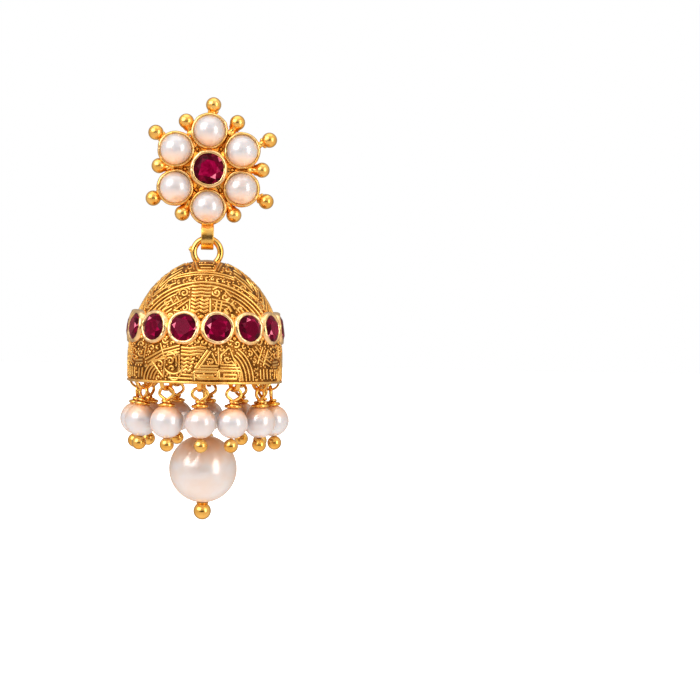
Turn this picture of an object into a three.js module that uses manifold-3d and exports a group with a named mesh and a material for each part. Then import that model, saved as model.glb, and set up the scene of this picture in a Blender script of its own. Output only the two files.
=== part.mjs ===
// A jhumka ear drop: a flower stud of six pearls round a ruby hangs a bell-shaped dome on a jump ring.
// The dome carries a band of rubies, a fringe of wire-wrapped pearls and one large pearl at its centre.
// Millimetres, +Z up, +X to the right as seen from the front. The viewer stands at -Y.
// The origin is where the ear post leaves the rear face of the stud.
import * as THREE from "three";
import { mergeVertices } from "three/addons/utils/BufferGeometryUtils.js";
import Module from "manifold-3d";

const wasm = await Module();
wasm.setup();

// Clearances
const STONE_GAP = 0.12; // between a stone or pearl and the metal that holds it
const LINK_GAP = 0.1; // between two wires that interlock
const EMBED = 0.25; // how far a soldered piece runs into its neighbour

// Flower stud
const PETALS = 6;
const CUP_R = 2.42; // outer radius of a pearl cup at its rim
const CUP_WALL = 0.25;
const CUP_FLARE = 0.27; // how much wider the rim is than the base
const CUP_DEPTH = 2.1; // rear face to rim
const PETAL_RISE = 1.75; // how far a pearl domes out of its cup
const HEART_R = 2.5; // outer radius of the centre setting
const HEART_WALL = 0.4;
const HEART_DEPTH = 2.65; // rear face to rim
const HEART_CROWN = 0.6; // girdle to table
const PLATE_T = 0.55; // back plate
const FLOOR_STEP = 0.05; // cup floors stand this far in front of the plate
const ARM_W = 0.9; // arms that carry the gold balls
const BALL_R = 1.0; // gold balls round the flower
const NOTCH_SEAM = 0.15; // between two cups and the ball in their notch
const TIP_SEAM = 0.07; // between a cup and the ball at its tip
const CUP_SEAM = 0.04; // between the centre setting and the cups
const POST_R = 0.45;
const POST_L = 10.5;

// Bail and jump ring
const RING_R = 1.74; // centre line of the wire
const RING_WIRE_R = 0.425;
const BAIL_W = 1.64; // strap width
const BAIL_T = 0.6; // strap thickness
const BAIL_H = 3.35; // outer height of the strap loop
const BAIL_REAR = 0.05; // strap to the plane of the rear face
const BAIL_BITE = 0.22; // how far the strap's top runs into the lowest cup

// Dome
const BELL_R = 10.05;
const BELL_H = 13.0; // crown to the widest level
const BELL_POWER = 0.52; // 0.5 is an ellipse, more is a leaner shoulder
const SKIRT_H = 2.72; // straight part under the widest level
const BELL_WALL = 0.8;
const CROWN_WALL = 0.25;
const FLANGE_T = 0.6; // inward flange at the rim
const FLANGE_EDGE = 0.1; // flange past the fringe eyes
const RIB_OUT = 0.14; // raised ribs round the dome
const RIB_W = 0.34;
const RIB_SHARES = [0.245, 0.455, 0.895]; // rib heights below the crown, as shares of BELL_H

// Ruby band
const BAND_DROP = 8.8; // crown to the stones' centres
const BEZEL_R = 2.13;
const BEZEL_WALL = 0.26;
const BEZEL_SEAM = 0.17; // between neighbours, along the band
const BEZEL_INSET = 0.15; // dome's greatest radius to the middle of a rim
const BEZEL_DEPTH = 0.85; // rim to floor
const BEZEL_TILT = THREE.MathUtils.degToRad(8); // the rims look a little upwards
const RUBY_CROWN = 0.42; // girdle to table
const RUBY_SET = 0.12; // girdle below the rim
const BAND_PHASE = THREE.MathUtils.degToRad(9); // first stone, from the front towards +X

// Fringe
const FRINGE_INSET = 1.45; // dome's greatest radius to the ring of eyes
const FRINGE_PHASE = THREE.MathUtils.degToRad(-4); // first drop, from the front towards +X
const FRINGE_GAP = 0.4; // between neighbouring pearls
const EYE_R = 1.25; // outer radius of a strap eye
const EYE_T = 0.3;
const EYE_W = 0.58;
const WIRE_R = 0.185;
const LOOP_W = 0.9; // half width of a pin's loop, to the wire's centre line
const LOOP_H = 0.82; // its half height
const COIL_R = 0.5; // wrapped turns under the loop
const COIL_H = 0.5;
const FLAT_TURN_R = 0.95; // widest turn, on the pearl
const FLAT_TURN_T = 0.4;
const PEARL_R = 2.0;
const PEARL_H = 1.92; // half height
const BORE_GAP = 0.1;
const BEAD_R = 0.87; // gold ball under each pearl

// Centre drop
const HANGER_SIDE = 0.27; // spare room beside the jump ring in the strap eye under the crown
const HANGER_T = 0.35;
const HANGER_W = 0.5;
const CENTRE_WIRE_R = 0.21;
const CENTRE_LOOP_R = 0.92;
const BIG_PEARL_R = 4.3;
const BIG_PEARL_DROP = 7.3; // rim of the dome to the big pearl's top
const WASHER_R = 0.83;
const WASHER_T = 0.28;
const END_BALL_R = 1.15;

// How finely round things are faceted
const CUP_SIDES = 14;
const BEZEL_SIDES = 12;
const SIDES_PER_BEZEL = 2;
const BALL_SIDES = 12;
const BEAD_SIDES = 10;
const WIRE_SIDES = 5;
const FACETS = 10;

// Proportions of a cut stone, as shares of its girdle radius
const STONE_BASE = 0.5;
const STONE_TABLE = 0.6;

const gold = new THREE.MeshStandardMaterial({ color: 0xd99a2f, roughness: 0.25, metalness: 1 });
const nacre = new THREE.MeshStandardMaterial({ color: 0xf3e8dc, roughness: 0.25, metalness: 0 });
const ruby = new THREE.MeshStandardMaterial({ color: 0x8e0a3c, roughness: 0.1, metalness: 0 });

// A closed three.js geometry as a solid that can be joined and cut.
function solid(geometry) {
  geometry.deleteAttribute("normal");
  geometry.deleteAttribute("uv");
  const merged = mergeVertices(geometry, 1e-5);
  const corners = merged.index.array;
  const kept = [];
  for (let i = 0; i < corners.length; i += 3) {
    const [a, b, c] = corners.slice(i, i + 3);
    if (a !== b && b !== c && a !== c) kept.push(a, b, c);
  }
  const mesh = new wasm.Mesh({
    numProp: 3,
    vertProperties: merged.attributes.position.array,
    triVerts: new Uint32Array(kept),
  });
  return new wasm.Manifold(mesh);
}

const fuse = (solids) => solids.reduce((whole, next) => whole.add(next));

function geometryOf(made) {
  const mesh = made.getMesh();
  const geometry = new THREE.BufferGeometry();
  geometry.setAttribute("position", new THREE.BufferAttribute(mesh.vertProperties, mesh.numProp));
  geometry.setIndex(new THREE.BufferAttribute(mesh.triVerts, 1));
  geometry.computeVertexNormals();
  return geometry;
}

// A profile of [radius, height] points turned about Z. It starts and ends on the axis or closes
// on itself, and runs anticlockwise with the radius drawn to the right.
function turned(profile, sides) {
  const points = profile.map(([r, h]) => new THREE.Vector2(r, h));
  return new THREE.LatheGeometry(points, sides).rotateX(Math.PI / 2);
}

function ball(radius, sides, bands) {
  const profile = [[0, -radius]];
  for (let i = 1; i < bands; i++) {
    const angle = Math.PI * (i / bands - 0.5);
    profile.push([radius * Math.cos(angle), radius * Math.sin(angle)]);
  }
  profile.push([0, radius]);
  return turned(profile, sides);
}

// A pearl with a drilled hole along Z.
function drilledPearl(radius, halfHeight, bore, sides, bands) {
  const start = Math.asin(bore / radius);
  const profile = [];
  for (let i = 0; i <= bands; i++) {
    const angle = start + ((Math.PI - 2 * start) * i) / bands;
    profile.push([radius * Math.sin(angle), -halfHeight * Math.cos(angle)]);
  }
  profile.push(profile[0]);
  return turned(profile, sides);
}

// A straight round rod along Z.
function rod(radius, low, high, sides) {
  return turned([[0, low], [radius, low], [radius, high], [0, high]], sides);
}

// A closed wire ring standing in the YZ plane.
function wireLoop(halfWidth, halfHeight, wireRadius, steps) {
  return new THREE.TorusGeometry(halfWidth, wireRadius, WIRE_SIDES, steps)
    .rotateY(Math.PI / 2)
    .scale(1, 1, halfHeight / halfWidth);
}

// A cut stone with its small flat base, its girdle and its table at three heights.
function cutStone(radius, base, girdle, table, facets) {
  const profile = [
    [0, base],
    [radius * STONE_BASE, base],
    [radius, girdle],
    [radius * STONE_TABLE, table],
    [0, table],
  ];
  return turned(profile, facets);
}

// A U-shaped strap in the XZ plane, round at the bottom, with legs that run up.
function strapEye(outer, thickness, width, legs) {
  const inner = outer - thickness;
  const shape = new THREE.Shape();
  shape.moveTo(-outer, legs);
  shape.absarc(0, 0, outer, Math.PI, 2 * Math.PI, false);
  shape.lineTo(outer, legs);
  shape.lineTo(inner, legs);
  shape.absarc(0, 0, inner, 2 * Math.PI, Math.PI, true);
  shape.lineTo(-inner, legs);
  const options = { depth: width, bevelEnabled: false, curveSegments: 5 };
  const strap = new THREE.ExtrudeGeometry(shape, options).translate(0, 0, -width / 2);
  return strap.rotateX(Math.PI / 2);
}

function piece(name, geometry, material, parent) {
  const mesh = new THREE.Mesh(geometry, material);
  mesh.name = name;
  parent.add(mesh);
  return mesh;
}

// Two digits, so that names sort in order.
const numbered = (stem, i) => `${stem}_${String(i + 1).padStart(2, "0")}`;

// The turn about Z of a piece made along +X, for a place counted from the front towards +X.
const placeAngle = (phase, i, count) => phase + (2 * Math.PI * i) / count - Math.PI / 2;

// Where the pieces of the stud lie
const halfStep = Math.PI / PETALS;
const petalRing = Math.max(CUP_R + HEART_R, CUP_R / Math.sin(halfStep)) + CUP_SEAM;
const notchReach = CUP_R + BALL_R + NOTCH_SEAM;
const notchSide = petalRing * Math.sin(halfStep);
const notchRing = petalRing * Math.cos(halfStep) + Math.sqrt(notchReach ** 2 - notchSide ** 2);
const tipRing = petalRing + CUP_R + BALL_R + TIP_SEAM;
const cupFloor = PLATE_T + FLOOR_STEP;

// Where the hanging pieces lie. The strap's corners just clear the ring's inside, and the bail's
// lower end is round about the top of the ring, so the ring turns in it freely.
const ringHole = RING_R - RING_WIRE_R - LINK_GAP;
const bailIn = RING_R - Math.sqrt(ringHole ** 2 - (BAIL_W / 2) ** 2);
const bailOut = bailIn + BAIL_T;
const axisY = -(bailOut + BAIL_REAR);
const bailTop = BAIL_BITE - petalRing - CUP_R;
const pivotZ = bailTop - BAIL_H + bailOut;
const ringZ = pivotZ - RING_R;
const ringFoot = ringZ - RING_R - RING_WIRE_R;
const crownUnder = ringFoot + 2 * RING_WIRE_R + LINK_GAP;
const crownZ = crownUnder + CROWN_WALL;
const wideZ = crownZ - BELL_H;
const rimZ = wideZ - SKIRT_H;

// Where the ruby band and the fringe lie
const bezelFace = BELL_R - BEZEL_INSET;
const bandZ = crownZ - BAND_DROP;
const seatR = BEZEL_R - BEZEL_WALL;
const rubyCount = Math.floor((2 * Math.PI * bezelFace) / (2 * BEZEL_R + BEZEL_SEAM));
const fringeRing = BELL_R - FRINGE_INSET;
const fringeCount = Math.floor((2 * Math.PI * fringeRing) / (2 * PEARL_R + FRINGE_GAP));
const loopZ = rimZ - EYE_R + EYE_T + LINK_GAP + WIRE_R - LOOP_H;
const coilTop = loopZ - LOOP_H + WIRE_R / 2;
const flatTurnFoot = coilTop - COIL_H - FLAT_TURN_T;
const pearlZ = flatTurnFoot - STONE_GAP - PEARL_H;
const beadZ = pearlZ - PEARL_H - STONE_GAP - BEAD_R;

// Where the centre drop hangs
const hangerIn = RING_WIRE_R + LINK_GAP + HANGER_SIDE;
const hangerOut = hangerIn + HANGER_T;
const hangerSeat = ringFoot - 2 * LINK_GAP - 2 * CENTRE_WIRE_R;
const hangerZ = hangerSeat + hangerIn;
const centreLoopZ = hangerSeat + LINK_GAP + CENTRE_WIRE_R - CENTRE_LOOP_R;
const bigPearlZ = rimZ - BIG_PEARL_DROP - BIG_PEARL_R;
const washerTop = bigPearlZ - BIG_PEARL_R - STONE_GAP / 2;
const endBallZ = washerTop - WASHER_T - END_BALL_R + EMBED;

// The bell's outline: its outer radius at a height, and points up it to the crown.
const bellRadius = (z) => BELL_R * (1 - ((z - wideZ) / BELL_H) ** 2) ** BELL_POWER;

function bellCurve(radius, height, steps) {
  const points = [];
  for (let i = 0; i < steps; i++) {
    const share = Math.sin((Math.PI / 2) * (i / steps));
    points.push([radius * (1 - share ** 2) ** BELL_POWER, wideZ + height * share]);
  }
  points.push([0, wideZ + height]);
  return points;
}

// The stud is drawn face up: x to the right, y up the wearer's ear, z out towards the viewer.
function setting(radius, wall, flare, depth) {
  // The cups' undersides stand a little in front of the plate's rear face.
  const profile = [
    [0, FLOOR_STEP],
    [radius - flare, FLOOR_STEP],
    [radius, depth],
    [radius - wall, depth],
    [radius - flare - wall, cupFloor],
    [0, cupFloor],
  ];
  return turned(profile, CUP_SIDES);
}

function starFrame() {
  const solids = [solid(rod(petalRing, 0, PLATE_T, 2 * BALL_SIDES))];
  solids.push(solid(setting(HEART_R, HEART_WALL, CUP_FLARE / 2, HEART_DEPTH)));
  for (let i = 0; i < 2 * PETALS; i++) {
    const angle = halfStep * i;
    const atPetal = i % 2 === 1;
    const atBail = Math.abs(angle - 1.5 * Math.PI) < halfStep / 2;
    if (atPetal) {
      const cup = setting(CUP_R, CUP_WALL, CUP_FLARE, CUP_DEPTH);
      solids.push(solid(cup.translate(petalRing, 0, 0).rotateZ(angle)));
    }
    const ballRing = atPetal ? tipRing : notchRing;
    const reach = atBail ? petalRing + CUP_R + BAIL_T : ballRing;
    const arm = new THREE.BoxGeometry(reach, ARM_W, PLATE_T - 2 * FLOOR_STEP);
    solids.push(solid(arm.translate(reach / 2, 0, PLATE_T / 2).rotateZ(angle)));
    if (!atBail) {
      const round = ball(BALL_R, BEAD_SIDES, 5).translate(reach, 0, BALL_R + FLOOR_STEP);
      solids.push(solid(round.rotateZ(angle)));
    }
  }
  solids.push(solid(bail()));
  return fuse(solids);
}

// A strap bent into a slot-shaped loop and soldered under the lowest cup. It is drawn in the
// plane of z (as x) and y, and pushed out along x.
function bail() {
  const topCentre = bailTop - bailOut;
  const loop = (radius, path) => {
    path.moveTo(radius, topCentre);
    path.absarc(0, topCentre, radius, 0, Math.PI, false);
    path.absarc(0, pivotZ, radius, Math.PI, 2 * Math.PI, false);
    return path;
  };
  const shape = loop(bailOut, new THREE.Shape());
  shape.holes.push(loop(bailIn, new THREE.Path()));
  const options = { depth: BAIL_W, bevelEnabled: false, curveSegments: 8 };
  const strap = new THREE.ExtrudeGeometry(shape, options).translate(0, 0, -BAIL_W / 2);
  return strap.rotateY(-Math.PI / 2).translate(0, 0, -axisY);
}

function starPearl() {
  const girdle = CUP_DEPTH - STONE_GAP;
  const radius = CUP_R - CUP_WALL - STONE_GAP;
  const top = CUP_DEPTH + PETAL_RISE;
  const profile = [[0, cupFloor + STONE_GAP], [radius * STONE_TABLE, cupFloor + STONE_GAP]];
  for (const angle of [0, 28, 56].map(THREE.MathUtils.degToRad)) {
    profile.push([radius * Math.cos(angle), girdle + (top - girdle) * Math.sin(angle)]);
  }
  profile.push([0, top]);
  return turned(profile, BALL_SIDES + 2);
}

// The dome and everything that rides on it is drawn about the bell's axis, at its real heights.
function ribbedFlank() {
  const ribs = RIB_SHARES.map((share) => crownZ - share * BELL_H);
  const plain = bellCurve(BELL_R, BELL_H, 6);
  const points = plain.filter(([, z]) => ribs.every((rib) => Math.abs(rib - z) > RIB_W));
  for (const rib of ribs) {
    const low = rib - RIB_W / 2;
    const high = rib + RIB_W / 2;
    points.push([bellRadius(low), low]);
    points.push([bellRadius(rib) + RIB_OUT, rib]);
    points.push([bellRadius(high), high]);
  }
  return points.sort((a, b) => a[1] - b[1]);
}

// Turns a piece that was drawn along Z, with z = 0 at the bezel's rim, into its place in the band.
function inBand(geometry, i) {
  return geometry
    .rotateY(Math.PI / 2 - BEZEL_TILT)
    .translate(bezelFace, 0, bandZ)
    .rotateZ(placeAngle(BAND_PHASE, i, rubyCount));
}

// The bell's facets are set out in step with the bezels.
function inPhase(profile) {
  const angle = placeAngle(BAND_PHASE, 0, rubyCount);
  return turned(profile, SIDES_PER_BEZEL * rubyCount).rotateZ(angle);
}

function dome() {
  const body = [
    [0, rimZ],
    [BELL_R + RIB_OUT / 2, rimZ],
    [BELL_R + RIB_OUT / 2, rimZ + RIB_W],
    [BELL_R, rimZ + RIB_W * 1.3],
    ...ribbedFlank(),
  ];
  const innerR = BELL_R - BELL_WALL;
  const mouthR = fringeRing - EYE_R - FLANGE_EDGE;
  const cavity = [
    [0, rimZ - EMBED],
    [mouthR, rimZ - EMBED],
    [mouthR, rimZ + FLANGE_T],
    [innerR, rimZ + FLANGE_T],
    ...bellCurve(innerR, crownUnder - wideZ, 5),
  ];
  let made = solid(inPhase(body));
  for (let i = 0; i < rubyCount; i++) {
    made = made.add(solid(inBand(rod(BEZEL_R, -3 * BEZEL_DEPTH, 0, BEZEL_SIDES), i)));
  }
  for (let i = 0; i < rubyCount; i++) {
    made = made.subtract(solid(inBand(rod(seatR, -BEZEL_DEPTH, BEZEL_DEPTH, BEZEL_SIDES), i)));
  }
  made = made.subtract(solid(inPhase(cavity)));
  for (let i = 0; i < fringeCount; i++) {
    const eye = strapEye(EYE_R, EYE_T, EYE_W, EMBED).translate(fringeRing, 0, rimZ);
    made = made.add(solid(eye.rotateZ(placeAngle(FRINGE_PHASE, i, fringeCount))));
  }
  const hangerLegs = crownUnder - hangerZ;
  const hanger = strapEye(hangerOut, HANGER_T, HANGER_W, hangerLegs).rotateZ(Math.PI / 2);
  made = made.add(solid(hanger.translate(0, 0, hangerZ)));
  const ringWay = new THREE.TorusGeometry(RING_R, RING_WIRE_R + LINK_GAP, 8, 24)
    .rotateX(Math.PI / 2)
    .translate(0, 0, ringZ);
  return made.subtract(solid(ringWay));
}

// One fringe pin, drawn with x pointing out from the bell's axis.
function fringePin() {
  const coils = [
    [0, flatTurnFoot],
    [FLAT_TURN_R, flatTurnFoot],
    [FLAT_TURN_R, flatTurnFoot + FLAT_TURN_T],
    [COIL_R, coilTop],
    [0, coilTop],
  ];
  return fuse([
    solid(wireLoop(LOOP_W, LOOP_H, WIRE_R, 10).translate(0, 0, loopZ)),
    solid(turned(coils, BEAD_SIDES)),
    solid(rod(WIRE_R, beadZ, coilTop - COIL_H / 2, WIRE_SIDES)),
    solid(ball(BEAD_R, BEAD_SIDES, 5).translate(0, 0, beadZ)),
  ]);
}

function centrePin() {
  const loop = wireLoop(CENTRE_LOOP_R, CENTRE_LOOP_R, CENTRE_WIRE_R, 14).rotateZ(Math.PI / 2);
  const loopFoot = centreLoopZ - CENTRE_LOOP_R;
  const collarFoot = bigPearlZ + BIG_PEARL_R + STONE_GAP;
  return fuse([
    solid(loop.translate(0, 0, centreLoopZ)),
    solid(rod(CENTRE_WIRE_R, endBallZ, loopFoot, WIRE_SIDES + 1)),
    solid(rod(COIL_R, loopFoot - COIL_H, loopFoot, BEAD_SIDES)),
    solid(rod(FLAT_TURN_R, collarFoot, collarFoot + FLAT_TURN_T, BEAD_SIDES)),
    solid(rod(WASHER_R, washerTop - WASHER_T, washerTop, BALL_SIDES)),
    solid(ball(END_BALL_R, BALL_SIDES, 8).translate(0, 0, endBallZ)),
  ]);
}

function makeStud() {
  const stud = new THREE.Group();
  stud.rotation.x = Math.PI / 2;
  piece("star_frame", geometryOf(starFrame()), gold, stud);
  for (let i = 0; i < PETALS; i++) {
    const angle = halfStep * (2 * i + 1);
    const pearl = piece(`star_pearl_${i + 1}`, geometryOf(solid(starPearl())), nacre, stud);
    pearl.position.set(petalRing * Math.cos(angle), petalRing * Math.sin(angle), 0);
  }
  const heartR = HEART_R - HEART_WALL - STONE_GAP;
  const girdle = HEART_DEPTH - STONE_GAP;
  const heart = cutStone(heartR, girdle - HEART_R / 2, girdle, girdle + HEART_CROWN, FACETS + 2);
  piece("star_ruby", geometryOf(solid(heart)), ruby, stud);
  piece("ear_post", geometryOf(solid(rod(POST_R, -POST_L, 0, BALL_SIDES))), gold, stud);
  return stud;
}

function makeRing() {
  const ring = new THREE.TorusGeometry(RING_R, RING_WIRE_R, WIRE_SIDES + 1, 22);
  const mesh = piece("jump_ring", geometryOf(solid(ring)), gold, new THREE.Group());
  mesh.rotation.x = Math.PI / 2;
  mesh.position.set(0, axisY, ringZ);
  return mesh;
}

function makeBell() {
  const bell = new THREE.Group();
  bell.position.y = axisY;
  piece("dome", geometryOf(dome()), gold, bell);
  for (let i = 0; i < rubyCount; i++) {
    const girdle = -RUBY_SET;
    const base = STONE_GAP - BEZEL_DEPTH;
    const stone = cutStone(seatR - STONE_GAP, base, girdle, girdle + RUBY_CROWN, FACETS);
    piece(numbered("band_ruby", i), geometryOf(solid(inBand(stone, i))), ruby, bell);
  }
  const pin = geometryOf(fringePin());
  const pearl = drilledPearl(PEARL_R, PEARL_H, WIRE_R + BORE_GAP, BALL_SIDES, 5);
  const drilled = geometryOf(solid(pearl.translate(0, 0, pearlZ)));
  for (let i = 0; i < fringeCount; i++) {
    const angle = placeAngle(FRINGE_PHASE, i, fringeCount);
    const parts = [
      piece(numbered("drop_pin", i), pin, gold, bell),
      piece(numbered("drop_pearl", i), drilled, nacre, bell),
    ];
    for (const part of parts) {
      part.position.set(fringeRing * Math.cos(angle), fringeRing * Math.sin(angle), 0);
      part.rotation.z = angle;
    }
  }
  return bell;
}

function makeCentreDrop() {
  const drop = new THREE.Group();
  drop.position.y = axisY;
  piece("centre_pin", geometryOf(centrePin()), gold, drop);
  const bore = CENTRE_WIRE_R + BORE_GAP;
  const pearl = drilledPearl(BIG_PEARL_R, BIG_PEARL_R, bore, CUP_SIDES, 9);
  piece("centre_pearl", geometryOf(solid(pearl.translate(0, 0, bigPearlZ))), nacre, drop);
  return drop;
}

const earring = new THREE.Group();
earring.add(makeStud(), makeRing(), makeBell(), makeCentreDrop());
export default earring;
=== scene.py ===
# The look of a jhumka earring: gold with wirework, rubies and pearls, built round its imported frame.
# Sizes are in millimetres. +Z is up and the viewer stands at -Y.
import math

import bmesh
import bpy
import numpy as np
from mathutils import Matrix, Vector


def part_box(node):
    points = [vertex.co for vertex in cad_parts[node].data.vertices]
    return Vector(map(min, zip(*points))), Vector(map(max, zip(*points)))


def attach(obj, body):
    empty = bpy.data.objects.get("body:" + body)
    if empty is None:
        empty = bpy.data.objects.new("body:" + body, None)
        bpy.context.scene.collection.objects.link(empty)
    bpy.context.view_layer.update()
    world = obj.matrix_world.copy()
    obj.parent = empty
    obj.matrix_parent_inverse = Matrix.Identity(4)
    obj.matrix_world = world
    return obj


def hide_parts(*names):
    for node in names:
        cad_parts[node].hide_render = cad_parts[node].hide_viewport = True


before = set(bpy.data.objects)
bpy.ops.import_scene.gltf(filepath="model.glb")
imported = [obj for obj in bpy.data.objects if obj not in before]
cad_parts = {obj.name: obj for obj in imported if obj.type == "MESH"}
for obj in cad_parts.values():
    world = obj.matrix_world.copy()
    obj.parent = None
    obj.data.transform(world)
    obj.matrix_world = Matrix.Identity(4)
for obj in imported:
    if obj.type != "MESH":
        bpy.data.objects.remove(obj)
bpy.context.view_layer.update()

MM = 0.001

# Camera
CAMERA_PLACE = (0.27, -261.5, -18.4)
CAMERA_YAW = 4.11
CAMERA_PITCH = -1.06
CAMERA_ROLL = 1.17
CAMERA_LENS = 102.1

# Flower stud
CUP_R = 2.42
CUP_WALL = 0.25
CUP_LIP = 0.42
CUP_FLARE = 0.27
CUP_DEPTH = 2.1
HEART_R = 2.5
HEART_WALL = 0.45
HEART_LIP = 0.56
HEART_DEPTH = 2.65
PLATE_T = 0.55
BALL_R = 1.0
STAR_PEARL_R = 2.01
PETAL_RISE = 1.72
TIP_SEAM = 0.07
NOTCH_SEAM = 0.15
HEART_STONE_R = 2.0
POST_R = 0.45
BALL_Z = 1.05
# How far each gold ball was soldered off its even place: clockwise in degrees, and away from the centre
BALL_LEANS = (-0.7, 2.9, 0.4, 3.3, 4.0, 3.8, 3.0, 1.3, 0.0, 0.0, 0.0, -2.1)
BALL_SHIFTS = (0.1, 0.38, 0.33, 0.0, 0.05, -0.08, -0.4, -0.3, -0.18, 0.0, -0.08, 0.12)
ARM_R = 0.3
ARM_Z = 0.36
SOLDER_DROP_R = 0.3

# Lips of the settings: how far down their unevenness goes, their nicks, and how much their painted
# reflection varies
LIP_REACH = 0.9
NICK_DEPTH = 0.15
PAINTED_LIGHT_SPREAD = 0.17

# Bail and jump ring
RING_R = 1.74
RING_WIRE_R = 0.425
SOLDER_TURN = 171
SOLDER_AT = 2.2
SOLDER_R = 0.25
BAIL_W = 1.64
BAIL_T = 0.6
BAIL_IN = 0.8434
BAIL_TOP_RUN = 0.47

# Dome
BELL_R = 10.05
BELL_H = 13.0
BELL_POWER = 0.52
SKIRT_H = 2.72
BELL_WALL = 0.8
CROWN_WALL = 0.25
MOUTH_R = 7.25
FLANGE_T = 0.6
RING_WAY = 0.1
SOLDER_WAY = (195, 249)  # how far round the ring the crown meets the solder as the dome swings
SHELL_SINK = 0.12

# Wirework: panels by the angle of their middle, wires by half their width and by their height
PANELS = (-1.5, 118.5, 238.5)
PANEL_HALF = 60.0
WIRE_W = 0.115
WIRE_H = 0.06
BAR_W = 0.17
BAR_H = 0.09
HALF_ROUND = [[-0.98, 0], [-0.86, 0.3], [-0.5, 0.84], [0, 1.0], [0.5, 0.84], [0.86, 0.3], [0.98, 0]]
WIRE_ROOT = SHELL_SINK + 0.05
WIRE_STEP = 0.2
CURL_STEP = 0.12
CURL_PITCH = 0.36
CURL_TRIES = 2500
CURL_ROOMS = (0.6, 0.48, 0.38)
CURL_GAP = 0.2
CURL_MOST = 0.45
GRAIN_ROOM = 0.24
DRAWN_HALF = 8.7
HATCH_PITCH = 0.42
KEY_PITCH = 0.5
ARCH_X = -0.17
ARCH_D = 12.47
GRAIN_R = 0.14
LEAST_D = 0.3
MOST_D = 15.62

# Ruby band
BAND_DROP = 8.8
BEZEL_R = 2.13
BEZEL_FACE = 9.9
BEZEL_TILT = 8.0
BAND_PHASE = 9.0
STONE_R = 1.8

# Fringe
FRINGE_R = 8.6
FRINGE_PHASE = -4.0
EYE_R = 1.25
EYE_T = 0.3
EYE_W = 0.58
WIRE_R = 0.21
LOOP_W = 0.98
LOOP_H = 0.82
TURN_R = (0.5, 0.92)
PEARL_R = 2.1
BEAD_R = 0.87
BEAD_SWELL = 1.06
# How far each drop hangs off plumb: outward and aside, in degrees
SWAYS = ((0, 2), (0, -2.5), (0, 0), (5, 0), (-1.5, 1.5), (1, -1.5),
         (0, 1.5), (-1, -1), (2, 0), (3, 0), (5, 1), (0, 1.5))
PEARL_SIZES = (0.945, 0.945, 0.97, 0.98, 1.0, 0.98, 1.0, 1.0, 0.98, 1.0, 1.0, 1.01)

# Centre drop
HANGER_IN = 0.795
HANGER_T = 0.35
HANGER_W = 0.5
CENTRE_WIRE_R = 0.21
CENTRE_LOOP_R = 0.92
WASHER_R = 0.83
WASHER_T = 0.28
END_BALL_R = 1.15
BIG_PEARL_R = 4.42
CENTRE_TURNS_R = 0.34

# Stage, in metres
FLOOR_Z = -0.11
FLOOR_HALF = 3.0
LIT_PLACE = (0.0, 0.0, -0.022)

# Surround: colours by height at the sides and in front, and the plain colour behind
DIM = (0.05, 0.04, 0.035)
SIDES = [(0.0, (1.05, 0.93, 0.8)), (0.5, (0.75, 0.69, 0.63))]
SIDES += [(0.75, (0.95, 0.92, 0.88)), (1.0, (1.05, 1.04, 1.02))]
IN_FRONT = [(0.38, (0.85, 0.76, 0.67)), (0.43, DIM), (0.53, DIM), (0.62, (0.7, 0.68, 0.66))]
BEHIND = (0.42, 0.38, 0.34, 1)

# Painted reflections that settings and pearls take on: paler gold on the settings, peach on the pearls
PAINTED_REFLECTION_GOLD = (1.0, 0.72, 0.42, 1)
PAINTED_REFLECTION_PEACH = (0.92, 0.53, 0.29, 1)


# Places that come from the frame

def span(node):
    low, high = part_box(node)
    return np.array(low) / MM, np.array(high) / MM


def middle(node):
    low, high = span(node)
    return (low + high) / 2


def named(stem):
    return sorted(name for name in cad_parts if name.startswith(stem))


AXIS_Y = middle("jump_ring")[1]
RING_Z = middle("jump_ring")[2]
CROWN_Z = span("dome")[1][2]
WIDE_Z = CROWN_Z - BELL_H
RIM_Z = WIDE_Z - SKIRT_H
BAND_Z = CROWN_Z - BAND_DROP
PIVOT_Z = RING_Z + RING_R
PEARL_Z = middle("drop_pearl_01")[2]
BEAD_Z = span("drop_pin_01")[0][2] + BEAD_R
BIG_PEARL_Z = middle("centre_pearl")[2]
END_BALL_Z = span("centre_pin")[0][2] + END_BALL_R
CENTRE_LOOP_Z = span("centre_pin")[1][2] - CENTRE_WIRE_R - CENTRE_LOOP_R


# Mesh tools

def grid(rows, columns, wrap_rows=False):
    """Quads over rows of points, each row closed on itself."""
    i = np.arange(rows if wrap_rows else rows - 1)[:, None]
    j = np.arange(columns)[None, :]
    after, beside = (i + 1) % rows, (j + 1) % columns
    corners = [i * columns + j, i * columns + beside, after * columns + beside, after * columns + j]
    return np.stack(np.broadcast_arrays(*corners), -1).reshape(-1, 4).tolist()


def full_turn(steps):
    return np.linspace(0, 2 * math.pi, steps, endpoint=False)


def turned(profile, sides, vary=None):
    """A profile of (radius, height) turned about Z. It starts and ends on the axis or closes on itself."""
    profile = np.array(profile, float)
    angle = full_turn(sides)
    on_axis = profile[0, 0] == 0
    rows = profile[1:-1] if on_axis else profile
    r = np.repeat(rows[:, :1], sides, 1)
    z = np.repeat(rows[:, 1:], sides, 1)
    if vary:
        dr, dz = vary(angle[None, :], r, z)
        r, z = r + dr, z + dz
    points = np.stack([r * np.cos(angle), r * np.sin(angle), z], -1).reshape(-1, 3)
    faces = grid(len(rows), sides, wrap_rows=not on_axis)
    if on_axis:
        last = (len(rows) - 1) * sides
        ends = len(points)
        for j in range(sides):
            beside = (j + 1) % sides
            faces.append([ends, beside, j])
            faces.append([ends + 1, last + j, last + beside])
        points = np.concatenate([points, [[0, 0, profile[0, 1]], [0, 0, profile[-1, 1]]]])
    return points, faces


def ball(radius, sides, bands, vary=None):
    steps = np.linspace(-math.pi / 2, math.pi / 2, bands + 1)
    profile = [[radius * math.cos(a), radius * math.sin(a)] for a in steps]
    profile[0][0] = profile[-1][0] = 0
    return turned(profile, sides, vary)


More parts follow.
